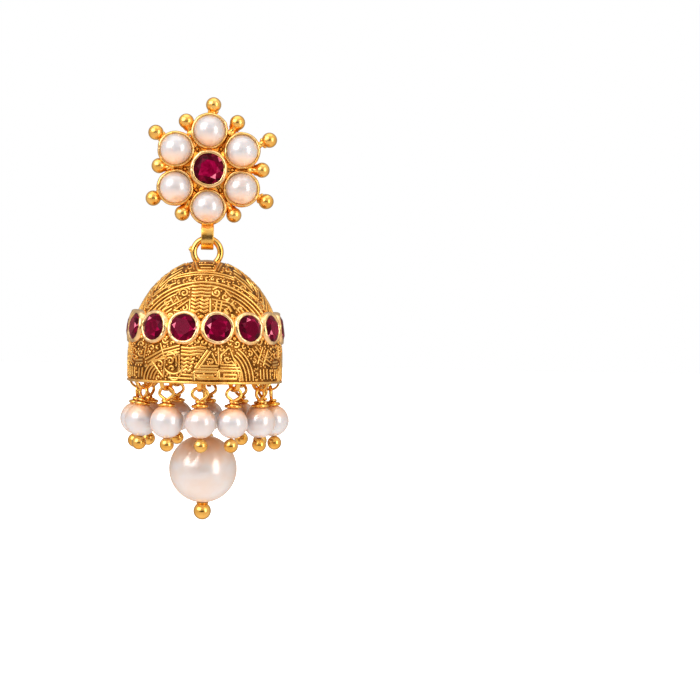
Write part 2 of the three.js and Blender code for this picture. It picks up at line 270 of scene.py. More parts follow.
def unit(vectors):
    return vectors / np.linalg.norm(vectors, axis=-1, keepdims=True)


def tangents(path, ring=False):
    if ring:
        return unit(np.roll(path, -1, 0) - np.roll(path, 1, 0))
    return unit(np.gradient(path, axis=0))


def unit_circle(sides):
    angle = full_turn(sides)
    return np.stack([np.cos(angle), np.sin(angle)], -1)


def bend(radius, angle):
    """Points of an arc in the XZ plane, at angles that count from +X upward."""
    return radius * np.stack([np.cos(angle), 0 * angle, np.sin(angle)], -1)


def rounded(width, height, corner):
    """A rectangle's outline with round corners."""
    points = []
    steps = 3
    for quarter, (sx, sy) in enumerate([(1, 1), (-1, 1), (-1, -1), (1, -1)]):
        centre = np.array([sx * (width / 2 - corner), sy * (height / 2 - corner)])
        for step in range(steps + 1):
            angle = (quarter + step / steps) * math.pi / 2
            points.append(centre + corner * np.array([math.cos(angle), math.sin(angle)]))
    return np.array(points)


def sweep(path, across, up, section, ring=False):
    """A closed section of (across, up) offsets carried along a path."""
    section = np.broadcast_to(section, (len(path), *np.shape(section)[-2:]))
    points = path[:, None] + across[:, None] * section[..., :1] + up[:, None] * section[..., 1:]
    rows, columns = section.shape[:2]
    faces = grid(rows, columns, wrap_rows=ring)
    if not ring:
        faces.append(list(range(columns))[::-1])
        faces.append(list(range((rows - 1) * columns, rows * columns)))
    return points.reshape(-1, 3), faces


def tube(path, radius, sides, ring=False):
    """A round wire along a path. The radius is one number or one for each point."""
    path = np.asarray(path, float)
    along = tangents(path, ring)
    up = np.zeros_like(path)
    start = np.eye(3)[np.argmin(np.abs(along[0]))]
    for i in range(len(path)):
        start = start - (start @ along[i]) * along[i]
        start = start / np.linalg.norm(start)
        up[i] = start
    radius = np.broadcast_to(radius, len(path))[:, None, None]
    return sweep(path, np.cross(along, up), up, radius * unit_circle(sides), ring)


def move(x=0.0, y=0.0, z=0.0):
    place = np.eye(4)
    place[:3, 3] = x, y, z
    return place


def turn(axis, degrees):
    return np.array(Matrix.Rotation(math.radians(degrees), 4, axis))


def around(degrees):
    """Where a piece drawn with x out of the bell goes, at an angle from the front towards +X."""
    return move(y=AXIS_Y) @ turn("Z", degrees - 90)


# Stands the stud, drawn face up, as it is worn
UPRIGHT = turn("X", 90)
ON_AXIS = move(y=AXIS_Y)


def waves(angle, seed, size, counts=(2, 3, 5, 8, 13)):
    """A smooth uneven line round a circle, as handwork leaves it."""
    draws = np.random.default_rng(seed)
    total = np.zeros_like(angle)
    for count in counts:
        total = total + np.sin(count * angle + draws.uniform(0, 2 * math.pi)) / count ** 0.5
    return size * total


def lumpy(seed, size, twist=0):
    """Takes a pearl off its perfect round."""

    def vary(angle, r, z):
        return waves(angle + twist * z, seed, size, (1, 2, 3)) * r, 0 * r

    return vary


class Shape:
    """The points and faces of one piece, gathered part by part."""

    def __init__(self):
        self.points = []
        self.faces = []
        self.painted_lights = []
        self.count = 0

    def add(self, made, *places, painted_light=0.0):
        points, faces = made[:2]
        for place in reversed(places):
            points = points @ place[:3, :3].T + place[:3, 3]
        self.points.append(points)
        self.faces += [[corner + self.count for corner in face] for face in faces]
        self.painted_lights += made[2] if len(made) > 2 else [painted_light] * len(faces)
        self.count += len(points)
        return self


def mesh_of(name, shape, smooth_angle):
    mesh = bpy.data.meshes.new(name)
    mesh.from_pydata((np.concatenate(shape.points) * MM).tolist(), [], shape.faces)
    # Each face keeps its share of painted light, which the materials read.
    painted_light = mesh.attributes.new("painted_light", "FLOAT", "FACE")
    painted_light.data.foreach_set("value", shape.painted_lights)
    work = bmesh.new()
    work.from_mesh(mesh)
    bmesh.ops.recalc_face_normals(work, faces=work.faces)
    work.to_mesh(mesh)
    work.free()
    if smooth_angle:
        mesh.shade_smooth()
        mesh.set_sharp_from_angle(angle=math.radians(smooth_angle))
    return mesh


def in_scene(name, data):
    made = bpy.data.objects.new(name, data)
    bpy.context.scene.collection.objects.link(made)
    return made


def piece(name, shape, material, body, nodes, smooth_angle=50):
    obj = in_scene(name, mesh_of(name, shape, smooth_angle))
    obj.data.materials.append(material)
    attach(obj, body)
    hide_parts(*nodes)
    return obj


# Materials

def start_material(name):
    made = bpy.data.materials.new(name)
    made.use_nodes = True
    tree = made.node_tree
    return made, tree, tree.nodes["Principled BSDF"]


def fill(node, values):
    """Sets inputs of a node to plain values, or links them from other nodes."""
    for name, value in values.items():
        if isinstance(value, bpy.types.NodeSocket):
            node.id_data.links.new(value, node.inputs[name])
        else:
            node.inputs[name].default_value = value


def new_node(tree, kind, values):
    made = tree.nodes.new("ShaderNode" + kind)
    fill(made, values)
    return made


def coordinates(tree, kind):
    return new_node(tree, "TexCoord", {}).outputs[kind]


def noise(tree, scale, detail, distortion=0.0):
    """Noise in the piece's own space. The scale counts waves in a metre."""
    made = new_node(tree, "TexNoise", {"Vector": coordinates(tree, "Object"), "Scale": scale})
    fill(made, {"Detail": detail, "Roughness": 0.55, "Distortion": distortion})
    return made.outputs["Fac"]


def ramp(tree, value, stops):
    """A value turned into a colour, by (place, colour) stops."""
    made = new_node(tree, "ValToRGB", {"Fac": value})
    elements = made.color_ramp.elements
    elements[0].position, elements[0].color = stops[0][0], (*stops[0][1], 1)
    elements[1].position, elements[1].color = stops[-1][0], (*stops[-1][1], 1)
    for place, colour in stops[1:-1]:
        elements.new(place).color = (*colour, 1)
    return made.outputs["Color"]


def mixed(tree, share, first, second):
    made = tree.nodes.new("ShaderNodeMix")
    made.data_type = "RGBA"
    fill(made, {"Factor": share, "A": first, "B": second})
    return made.outputs["Result"]


def rescaled(tree, value, low, high, from_low=0.3, from_high=0.7):
    made = new_node(tree, "MapRange", {"Value": value, "From Min": from_low, "From Max": from_high})
    fill(made, {"To Min": low, "To Max": high})
    return made.outputs["Result"]


def bumped(tree, value, depth, before=None):
    """Small relief from a value, as a normal. The depth is in metres."""
    made = new_node(tree, "Bump", {"Height": value, "Strength": 1.0, "Distance": depth})
    if before:
        fill(made, {"Normal": before})
    return made.outputs["Normal"]


def face_painted_light(tree):
    """The share of painted light that each face of a piece was given: painted reflection on the gold
    settings, painted lit and shaded facets on the rubies.
    """
    made = tree.nodes.new("ShaderNodeAttribute")
    made.attribute_name = "painted_light"
    return made.outputs["Fac"]


def gold(name, dark, bright, roughness, fine_depth, wide_depth):
    made, tree, shader = start_material(name)
    body = ramp(tree, noise(tree, 900, 4), [(0.32, dark), (0.66, bright)])
    gloss = rescaled(tree, noise(tree, 2200, 3), roughness * 0.7, roughness * 1.4)
    wide = bumped(tree, noise(tree, 700, 2), wide_depth)
    fine = bumped(tree, noise(tree, 5200, 3), fine_depth, wide)
    # Painted reflection: paler gold mixed in by each face's share of painted light.
    tint = mixed(tree, face_painted_light(tree), body, PAINTED_REFLECTION_GOLD)
    fill(shader, {"Base Color": tint, "Metallic": 1.0, "Roughness": gloss, "Normal": fine})
    return made


def nacre(name, cream, blush, reflection_from, reflection_to):
    """Pearl, with a painted reflection of gold, a peach tint that grows from one share of its height to
    another.
    """
    made, tree, shader = start_material(name)
    tint = ramp(tree, noise(tree, 260, 3, distortion=0.6), [(0.34, blush), (0.62, cream)])
    height = new_node(tree, "SeparateXYZ", {"Vector": coordinates(tree, "Generated")}).outputs["Z"]
    painted_reflection_share = rescaled(tree, height, 0, 1, reflection_from, reflection_to)
    relief = bumped(tree, noise(tree, 650, 3), 0.00002)
    fill(shader, {"Base Color": mixed(tree, painted_reflection_share, tint, PAINTED_REFLECTION_PEACH), "Normal": relief})
    fill(shader, {"Metallic": 0.35, "Roughness": 0.3, "IOR": 1.56, "Subsurface Weight": 0.5})
    fill(shader, {"Subsurface Radius": (1.0, 0.6, 0.4), "Subsurface Scale": 0.0012})
    fill(shader, {"Coat Weight": 0.8, "Coat Roughness": 0.17, "Coat IOR": 1.6})
    fill(shader, {"Sheen Weight": 0.5, "Sheen Roughness": 0.35, "Sheen Tint": (1, 0.54, 0.28, 1)})
    return made


def ruby(name, deep, mid, pale, glint):
    made, tree, shader = start_material(name)
    # Painted facet light: low shares give deep and mid red, the ruby's own colour with painted shade on
    # darker facets; high shares give pale red and glint, painted light and painted glints from inside the
    # stone. The cloud varies the shares at random.
    cloud = rescaled(tree, noise(tree, 1100, 4, distortion=1.6), -0.16, 0.16)
    both = new_node(tree, "Math", {0: face_painted_light(tree), 1: cloud})
    both.operation = "ADD"
    tint = ramp(tree, both.outputs["Value"], [(0.0, deep), (0.5, mid), (0.85, pale), (1.0, glint)])
    fill(shader, {"Base Color": tint, "Roughness": 0.05, "IOR": 1.77, "Transmission Weight": 0.06})
    fill(shader, {"Specular IOR Level": 0.05, "Specular Tint": (1.0, 0.28, 0.45, 1)})
    return made


POLISHED = gold("gold_polished", (0.86, 0.43, 0.07), (1.0, 0.60, 0.17), 0.16, 0.000004, 0.00003)
WORKED = gold("gold_worked", (0.88, 0.45, 0.08), (1.0, 0.62, 0.19), 0.22, 0.000010, 0.00005)
WIREWORK = gold("gold_wirework", (0.85, 0.43, 0.09), (0.98, 0.60, 0.18), 0.25, 0.000012, 0.00002)
# Painted shade: dark gold for the bell between its wires, as the hollows of the relief fall into shade.
PAINTED_SHADE_GOLD = gold("gold_painted_shade", (0.10, 0.034, 0.005), (0.38, 0.15, 0.024), 0.5, 0.00006, 0.00004)
# Painted reflection of gold: on the tops of the fringe and centre pearls, and on the lower parts of the
# set pearls.
NACRE = nacre("nacre_white", (0.545, 0.52, 0.535), (0.56, 0.47, 0.44), 0.58, 0.98)
NACRE_SET = nacre("nacre_set", (0.535, 0.515, 0.53), (0.55, 0.475, 0.45), 0.42, -0.1)
NACRE_BIG = nacre("nacre_cream", (0.575, 0.525, 0.515), (0.58, 0.465, 0.405), 0.58, 0.98)
# Ruby: deep and mid red with painted shade, a pale painted lit facet, and a pink painted glint.
RUBY = ruby("ruby_facets", (0.018, 0, 0.002), (0.10, 0, 0.011), (0.30, 0.003, 0.045), (0.7, 0.17, 0.25))


# Cut stones

def brilliant(radius, crown, pavilion, seed):
    """A round brilliant with its girdle at height 0: table, star, main and half facets, and pavilion."""
    draws = np.random.default_rng(seed)
    eighth = math.pi / 4
    girdle = 0.08
    # Shares of the radius: the table, the tips of the star facets, and the lower facets
    table, star_r, low_r = 0.58, 0.8, 0.42

    def at(share, angle, height):
        return [radius * share * math.cos(angle), radius * share * math.sin(angle), height]

    lean = math.cos(eighth / 2)
    star_z = crown * (1 - star_r * lean) / (1 - table)
    low_z = -girdle - (pavilion - girdle) * (1 - low_r * lean)
    points = [at(table, k * eighth, crown) for k in range(8)]
    points += [at(star_r, (k + 0.5) * eighth, star_z) for k in range(8)]
    points += [at(1, k * eighth / 4, height) for height in (0, -girdle) for k in range(32)]
    points += [at(low_r, (k + 0.5) * eighth, low_z) for k in range(8)]
    points.append([0, 0, -pavilion])
    faces, painted_lights = [], []
    star, upper, lower, low, culet = 8, 16, 48, 80, 88

    def face(corners, painted_light):
        faces.append(corners)
        painted_lights.append(float(np.clip(painted_light, 0, 1)))

    # Each facet gets its share of painted light: the table and crown facets are painted lit and shaded at
    # random, and two facets carry painted glints.
    face(list(range(8)), draws.choice([0.45, 0.52, 0.6]))
    glints = draws.integers(0, 8, 2)
    for k in range(8):
        after = (k + 1) % 8
        main, half, end = k * 4, k * 4 + 2, (k * 4 + 4) % 32
        face([k, star + (k - 1) % 8, upper + main, star + k], draws.choice([0.1, 0.25, 0.45]))
        face([k, star + k, after], 1.0 if k == glints[0] else draws.choice([0.15, 0.4, 0.7]))
        face([star + k, upper + main, upper + main + 1, upper + half], draws.choice([0.05, 0.2, 0.6]))
        edge_painted_light = 0.95 if k == glints[1] else draws.choice([0.0, 0.2, 0.35])
        face([star + k, upper + half, upper + half + 1, upper + end], edge_painted_light)
        face([low + (k - 1) % 8, culet, low + k, lower + main], 0.3)
        face([low + k, lower + half, lower + main + 1, lower + main], 0.2)
        face([low + k, lower + end, lower + half + 1, lower + half], 0.35)
    for k in range(32):
        beside = (k + 1) % 32
        face([upper + k, lower + k, lower + beside, upper + beside], 0.2)
    return np.array(points), faces, painted_lights


# Flower stud, drawn face up: x to the right, y up the ear, z towards the viewer

petals = named("star_pearl")
half_step = 180 / len(petals)
half_turn = math.radians(half_step)
petal_ring = max(abs(middle(node)[0]) for node in petals) / math.cos(half_turn)
tip_ring = petal_ring + CUP_R + BALL_R + TIP_SEAM
aside = petal_ring * math.sin(half_turn)
notch_ring = petal_ring * math.cos(half_turn) + math.sqrt((CUP_R + BALL_R + NOTCH_SEAM) ** 2 - aside ** 2)


def burnished(seed, size, top, inner_r):
    """Uneven handwork that fades below the rim, with small nicks in the lip."""

    def vary(angle, r, z):
        at_rim = np.clip(1 + (z - top) / LIP_REACH, 0, 1)
        calm = np.where(r < inner_r, 0.5, 1.0)
        out = waves(angle, seed, size, (2, 3, 4, 7, 11)) * at_rim * calm
        nicks = -NICK_DEPTH * np.clip(waves(angle, seed + 1, 0.6, (5, 9, 14, 23)) - 0.4, 0, 1) * at_rim
        return out + nicks, waves(angle, seed + 2, size, (2, 5, 9, 16)) * at_rim + nicks

    return vary


def worn(made, sides, seed, painted_light):
    """Gives a turned setting a painted reflection, a paler gold whose share varies round it."""
    angle = full_turn(sides)
    varied = np.clip(painted_light + waves(angle, seed, PAINTED_LIGHT_SPREAD, (2, 3, 7, 11)), 0, 1)
    return (*made, np.resize(varied, len(made[1])).tolist())


def cup(radius, wall, lip, flare, depth, floor, seed, painted_light):
    """A tapered setting whose lip slopes out from a crest by the stone."""
    profile = [[0, 0.05], [radius - flare, 0.05], [radius - flare * 0.8, depth * 0.25]]
    profile.append([radius - flare * 0.45, depth * 0.6])
    # The lip, by how far in and how far up from its outer corner
    rim = [(0.03, -0.42), (0, -0.26), (lip * 0.12, -0.12), (lip * 0.36, -0.01), (lip * 0.6, 0.04)]
    rim += [(lip * 0.84, 0.01), (lip, -0.08), (lip + 0.01, -0.2), (wall, -0.4)]
    profile += [[radius - inward, depth + rise] for inward, rise in rim]
    profile += [[radius - wall - flare, floor], [0, floor]]
    made = turned(profile, 96, burnished(seed, 0.042, depth, radius - lip + 0.05))
    # The whole setting carries painted reflection, a share of paler gold that varies round it.
    return worn(made, 96, seed + 900, painted_light)


def neck(reach, end, height, radius):
    """A short soldered stem from a cup to its gold ball, along +X."""
    length = end - reach
    shares = np.linspace(0, 1, 9)
    widths = radius * (1 + 0.6 * np.abs(2 * shares - 1) ** 2)
    path = np.stack([reach + shares * length, 0 * shares, height + 0 * shares], -1)
    return tube(path, widths, 16)


stud_metal = Shape()
plate_edge = [[0, 0], [petal_ring - 0.1, 0], [petal_ring, 0.1], [petal_ring, PLATE_T - 0.1]]
plate_edge += [[petal_ring - 0.12, PLATE_T], [0, PLATE_T]]
stud_metal.add(turned(plate_edge, 96), UPRIGHT)
# Painted reflection on the settings: paler gold at a share of 0.5 on the centre setting and 0.25 on the
# petal cups.
stud_metal.add(cup(HEART_R, HEART_WALL, HEART_LIP, 0.14, HEART_DEPTH, 1.0, 40, 0.5), UPRIGHT)
for i in range(2 * len(petals)):
    spin = turn("Z", half_step * i)
    at_petal = i % 2 == 1
    at_bail = i == 3 * len(petals) // 2
    if at_petal:
        made = cup(CUP_R, CUP_WALL, CUP_LIP, CUP_FLARE, CUP_DEPTH, PLATE_T + 0.05, 50 + 3 * i, 0.25)
        stud_metal.add(made, UPRIGHT, spin, move(x=petal_ring))
    if at_bail:
        continue
    ring = (tip_ring if at_petal else notch_ring) + BALL_SHIFTS[i]
    spin = spin @ turn("Z", -BALL_LEANS[i])
    inner = petal_ring + CUP_R - 0.35 if at_petal else ring - BALL_R - 0.9
    arm = tube([[ring * 0.35, 0, ARM_Z], [ring * 0.7, 0, ARM_Z], [ring, 0, 0.5]], ARM_R, 12)
    stud_metal.add(arm, UPRIGHT, spin)
    stud_metal.add(neck(inner, ring - BALL_R * 0.7, BALL_Z, 0.4 if at_petal else 0.5), UPRIGHT, spin)
    stud_metal.add(ball(BALL_R, 40, 20), UPRIGHT, spin, move(x=ring, z=BALL_Z))
    for side in (-1, 1):
        drop = move(x=ring - BALL_R * 0.86, y=side * 0.42, z=0.95)
        stud_metal.add(ball(SOLDER_DROP_R, 12, 8), UPRIGHT, spin, drop)
for i in range(len(petals)):
    # Solder grains in the corners between the cups and the centre setting
    spin = turn("Z", half_step * 2 * i)
    stud_metal.add(ball(0.34, 16, 8), UPRIGHT, spin, move(x=HEART_R + 0.62, z=0.75))
    stud_metal.add(ball(0.3, 16, 8), UPRIGHT, spin, move(x=notch_ring - BALL_R - 0.55, z=1.25))


def bail_strap():
    """A strap bent into a slot-shaped loop, in the YZ plane."""
    radius = BAIL_IN + BAIL_T / 2
    top = PIVOT_Z + BAIL_TOP_RUN
    path = []
    for half, centre_z in enumerate((top, PIVOT_Z)):
        for step in range(25):
            angle = math.pi * (half + step / 24)
            path.append([0, AXIS_Y + radius * math.cos(angle), centre_z + radius * math.sin(angle)])
    path = np.array(path)
    across = np.tile([1.0, 0, 0], (len(path), 1))
    up = np.cross(tangents(path, True), across)
    return sweep(path, across, up, rounded(BAIL_W, BAIL_T, 0.12), True)


stud_metal.add(bail_strap())
piece("stud_metal", stud_metal, WORKED, "stud", ["star_frame"])

for i, node in enumerate(petals):
    centre = middle(node)
    low = [[0, PLATE_T + 0.15], [STAR_PEARL_R * 0.7, PLATE_T + 0.15], [STAR_PEARL_R * 0.94, 1.2]]
    girdle = CUP_DEPTH - 0.25
    high = []
    for step in range(19):
        angle = math.pi / 2 * step / 18
        rise = (PETAL_RISE + CUP_DEPTH - girdle) * math.sin(angle)
        high.append([STAR_PEARL_R * math.cos(angle) ** 0.94, girdle + rise])
    high[-1][0] = 0
    pearl = turned(low + high, 64, lumpy(70 + i, 0.012))
    shape = Shape().add(pearl, move(x=centre[0], z=centre[2]), UPRIGHT)
    piece(f"cup_pearl_{i + 1}", shape, NACRE_SET, "stud", [node])

heart_cut = brilliant(HEART_STONE_R, 0.66, 1.5, 5)
heart = Shape().add(heart_cut, UPRIGHT, move(z=HEART_DEPTH - 0.1), turn("Z", 11))
piece("heart_stone", heart, RUBY, "stud", ["star_ruby"], 0)

post_end = span("ear_post")[1][1]
post_edge = [[0, 0], [POST_R, 0], [POST_R, post_end - 0.25], [0.3, post_end], [0, post_end]]
post = Shape().add(turned(post_edge, 32), turn("X", -90))
piece("post", post, POLISHED, "stud", ["ear_post"])

# Jump ring with its solder grain

link = Shape().add(tube(bend(RING_R, full_turn(96)), RING_WIRE_R, 20, True), ON_AXIS, move(z=RING_Z))
solder = math.radians(SOLDER_TURN)
grain = move(x=SOLDER_AT * math.cos(solder), z=RING_Z + SOLDER_AT * math.sin(solder))
link.add(ball(SOLDER_R, 16, 8), ON_AXIS, grain)
link.add(ball(0.2, 12, 8), ON_AXIS, grain, move(x=0.1, z=-0.3))
link.add(ball(0.15, 12, 8), ON_AXIS, grain, move(x=0.06, z=0.28))
piece("link_ring", link, POLISHED, "ring", ["jump_ring"])


# Dome

def bell_radius(z):
    """The bell's outer radius at a height."""
    share = np.clip((np.asarray(z, float) - WIDE_Z) / BELL_H, 0, 1)
    return BELL_R * (1 - share ** 2) ** BELL_POWER


def bell_rows(radius, top, steps):
    """Points (radius, height) from the widest level up to the crown."""
    shares = np.sin(np.linspace(0, math.pi / 2, steps + 1))
    rows = [[radius * (1 - s ** 2) ** BELL_POWER, WIDE_Z + (top - WIDE_Z) * s] for s in shares]
    rows[-1][0] = 0
    return rows


def bell_shell():
    """The plain bell, a little inside the surface that its wires reach. It is dark gold, painted shade
    between the wires.
    """
    face_r = BELL_R - SHELL_SINK
    outer = [[face_r - 0.1, RIM_Z], [face_r, RIM_Z + 0.1]]
    outer += [[face_r, RIM_Z + SKIRT_H * step / 12] for step in range(1, 12)]
    outer += bell_rows(face_r, CROWN_Z - 0.04, 64)
    inner = bell_rows(BELL_R - BELL_WALL, CROWN_Z - CROWN_WALL, 28)
    mouth = [[BELL_R - BELL_WALL, RIM_Z + FLANGE_T], [MOUTH_R, RIM_Z + FLANGE_T], [MOUTH_R, RIM_Z]]
    rows = inner[::-1] + mouth + outer

    def vary(angle, r, z):
        uneven = waves(angle, 90, 0.01) + waves(angle + z, 91, 0.008, (9, 14, 21))
        dents = waves(angle, 92, 0.02, (4, 7, 12)) * np.clip(1 - (z - RIM_Z) / 0.6, 0, 1)
        return np.where(r > BELL_R - BELL_WALL / 2, uneven, 0) * (r / BELL_R), dents

    return turned(rows, 216, vary)


shell = Shape().add(bell_shell(), ON_AXIS)
# The bell between its wires takes painted shade.
dome = piece("bell_shell", shell, PAINTED_SHADE_GOLD, "bell", ["dome"], 60)


def bore(target, name, made):
    """Cuts a shape, drawn round the ring's centre, out of a piece."""
    cutter = in_scene(name, mesh_of(name, Shape().add(made, ON_AXIS, move(z=RING_Z)), 0))
    cut = target.modifiers.new(name, "BOOLEAN")
    cut.operation, cut.solver, cut.object = "DIFFERENCE", "MANIFOLD", cutter
    bpy.context.view_layer.update()
    left = bpy.data.meshes.new_from_object(target.evaluated_get(bpy.context.evaluated_depsgraph_get()))
    target.modifiers.clear()
    target.data = left
    bpy.data.objects.remove(cutter)
    return left


solder_path = bend(SOLDER_AT, np.radians(np.linspace(*SOLDER_WAY, 20)))
bore(dome, "ring_way", tube(bend(RING_R, full_turn(64)), RING_WIRE_R + RING_WAY, 20, True))
bored = bore(dome, "solder_way", tube(solder_path, SOLDER_R + RING_WAY, 16))
bored.materials.clear()
bored.materials.append(PAINTED_SHADE_GOLD)
bored.materials.append(WORKED)
# The crown and the inside take worked gold, without the painted shade.
for face in bored.polygons:
    outward = Vector((face.center.x, face.center.y - AXIS_Y * MM, 0)).normalized()
    capped = face.center.z > (CROWN_Z - 0.4) * MM
    face.material_index = int(capped or face.normal.z < -0.1 or face.normal @ outward < -0.1)

# Ruby band

band = named("band_ruby")
band_angles = [BAND_PHASE + 360 * i / len(band) for i in range(len(band))]


def in_band(degrees):
    """Where a setting goes that is drawn face up, with its rim at z = 0."""
    return around(degrees) @ move(x=BEZEL_FACE, z=BAND_Z) @ turn("Y", 90 - BEZEL_TILT)


def bezel(seed):
    """A thick collar with a wide burnished lip, wider at its foot."""
    # By how far out from the setting's radius, and height
    collar = [(0.15, -1.5), (0.14, -0.9), (0.11, -0.5), (0.06, -0.27), (-0.02, -0.1), (-0.12, 0.02)]
    collar += [(-0.25, 0.06), (-0.38, 0.03)]
    profile = [[STONE_R - 0.22, -1.5], *([BEZEL_R + wider, z] for wider, z in collar)]
    profile += [[STONE_R - 0.12, -0.04], [STONE_R - 0.17, -0.12], [STONE_R - 0.17, -0.22]]
    # The collar carries painted reflection, paler gold at a share near 0.62.
    return worn(turned(profile, 80, burnished(seed, 0.045, 0, STONE_R + 0.05)), 80, seed + 900, 0.62)


bezels = Shape()
for i, degrees in enumerate(band_angles):
    bezels.add(bezel(200 + 5 * i), in_band(degrees))
    between = degrees + 180 / len(band)
    for rise in (1.35, -1.35):
        bezels.add(ball(0.24, 12, 8), around(between), move(x=bell_radius(BAND_Z + rise), z=BAND_Z + rise))
piece("bell_bezels", bezels, WORKED, "bell", ["dome"])

turns = np.random.default_rng(12).uniform(0, 45, len(band))
for i, node in enumerate(band):
    cut = brilliant(STONE_R, 0.42, 0.68, 300 + i)
    stone = Shape().add(cut, in_band(band_angles[i]), move(z=-0.12), turn("Z", turns[i]))
    piece(f"band_stone_{i + 1:02d}", stone, RUBY, "bell", [node], 0)


# Raised wirework: flat drawings on a panel, x from its middle and d down from the crown

def evenly(path, step=WIRE_STEP):
    path = np.asarray(path, float)
    run = np.concatenate([[0], np.cumsum(np.linalg.norm(np.diff(path, axis=0), axis=1))])
    count = max(3, int(run[-1] / step) + 1)
    where = np.linspace(0, run[-1], count)
    return np.stack([np.interp(where, run, path[:, 0]), np.interp(where, run, path[:, 1])], -1)


def line(*corners):
    return [evenly(corners)]


def arc(x, d, rx, rd, start, end):
    """Part of an ellipse. Angles count from straight up, towards +x."""
    angle = np.radians(np.linspace(start, end, 90))
    return [evenly(np.stack([x + rx * np.sin(angle), d - rd * np.cos(angle)], -1))]


def arch(rx, rd, start, end):
    return arc(ARCH_X, ARCH_D, rx, rd, start, end)


def spiral(x, d, size, start=0.0, hand=1):
    """A wire curled in to a small eye, with room between its turns."""
    turns = max(0.75, 0.86 * size / CURL_PITCH)
    share = np.linspace(1, 0.14, 60)
    angle = math.radians(start) + hand * 2 * math.pi * turns * (1 - share) / 0.86
    reach = size * share
    return [evenly(np.stack([x + reach * np.cos(angle), d + reach * np.sin(angle)], -1), CURL_STEP)]


def scrolls(x0, x1, d, size, bow):
    """A row of running scrolls. They follow a line that drops towards its ends by bow."""
    made = []
    count = max(1, round((x1 - x0) / (2.4 * size)))
    for i in range(count):
        x = x0 + (i + 0.5) * (x1 - x0) / count
        fall = bow * (2 * (x - x0) / (x1 - x0) - 1) ** 2
        made += spiral(x, d + fall, size, 90 if i % 2 else 270, 1 if i % 2 else -1)
    return made


def wavy(x0, x1, d, size, count):
    x = np.linspace(x0, x1, 50)
    return [evenly(np.stack([x, d + size * np.sin((x - x0) / (x1 - x0) * 2 * math.pi * count)], -1))]


def inside(points, corners):
    """Which points lie in a polygon."""
    corners = np.asarray(corners, float)
    found = np.zeros(len(points), bool)
    for (xa, da), (xb, db) in zip(corners, np.roll(corners, -1, 0)):
        if da == db:
            continue
        crosses = (points[:, 1] > da) != (points[:, 1] > db)
        at = xa + (points[:, 1] - da) * (xb - xa) / (db - da)
        found ^= crosses & (points[:, 0] < at)
    return found


def runs(kept, least=3):
    """The stretches of a line that are kept, as (first, last) pairs."""
    edges = np.flatnonzero(np.diff(np.concatenate([[0], kept.astype(int), [0]])))
    return [(a, b) for a, b in zip(edges[::2], edges[1::2]) if b - a >= least]


def hatch(corners, slope):
    """Parallel lines across a polygon, at a slope in degrees from level."""
    corners = np.asarray(corners, float)
    along = np.array([math.cos(math.radians(slope)), math.sin(math.radians(slope))])
    side = np.array([-along[1], along[0]])
    reach = np.ptp(corners, axis=0).sum()
    centre = corners.mean(0)
    made = []
    for offset in np.arange(-reach / 2, reach / 2, HATCH_PITCH):
        path = centre + side * offset + along * np.arange(-reach, reach, 0.1)[:, None]
        for a, b in runs(inside(path, corners), 4):
            made += line(path[a], path[b - 1])
    return made


def outlined(corners):
    return line(*corners, corners[0])


def key_box(x0, x1, d0, d1, mirrored=False):
    """A squared spiral of the Greek key kind."""
    left, right, top, low = x0 + KEY_PITCH, x1 - KEY_PITCH, d0 + KEY_PITCH, d1 - KEY_PITCH / 2
    path = [[x0, d1], [x0, d0], [x1, d0], [x1, low]]
    path += [[left, low], [left, top], [right, top], [right, low - KEY_PITCH]]
    if mirrored:
        path = [[x0 + x1 - x, d] for x, d in path]
    return line(*path)


def zigzag(x0, x1, d, size, count):
    path = [[x0 + (x1 - x0) * i / count, d + (size if i % 2 else -size)] for i in range(count + 1)]
    return line(*path)


def with_curls(paths, low, high, seed):
    """Adds curls of wire where a drawing is still open, between two levels, and says where grains fit."""
    draws = np.random.default_rng(seed)
    taken = np.concatenate(paths)
    across = draws.uniform(-DRAWN_HALF, DRAWN_HALF, CURL_TRIES)
    places = np.stack([across, draws.uniform(low, high, CURL_TRIES)], -1)
    for room_needed in CURL_ROOMS:
        for x, d in places:
            room = np.sqrt(((taken - [x, d]) ** 2).sum(1).min())
            if room < room_needed:
                continue
            size = min(room - CURL_GAP, CURL_MOST)
            curl = spiral(x, d, size, draws.uniform(0, 360), draws.choice([-1, 1]))
            paths = paths + curl
            taken = np.concatenate([taken, *curl])
    grains = []
    for x, d in places:
        if np.sqrt(((taken - [x, d]) ** 2).sum(1).min()) > GRAIN_ROOM:
            grains.append([x, d])
            taken = np.concatenate([taken, [[x, d]]])
    return paths, np.array(grains)


def upper_bars():
    """The heavy lines of the upper drawing."""
    made = arch(9.44, 9.44, -58, 58)
    for d in (3.5, 3.93, 4.36, 4.79):
        made += wavy(-1.6, 0.75, d, 0.05, 1.5)
    for k in range(4):
        made += zigzag(-1.65, 0.5, 5.3 + 0.47 * k, 0.14, 4)
    made += line([-1.5, 0.35], [-0.95, 1.5], [1.1, 1.5], [1.65, 0.4])
    for x, fall in ((2.6, 6.95), (3.05, 6.6), (3.5, 6.25)):
        made += line([x, fall - 0.55], [x + 0.42, fall + 0.15])
    return made


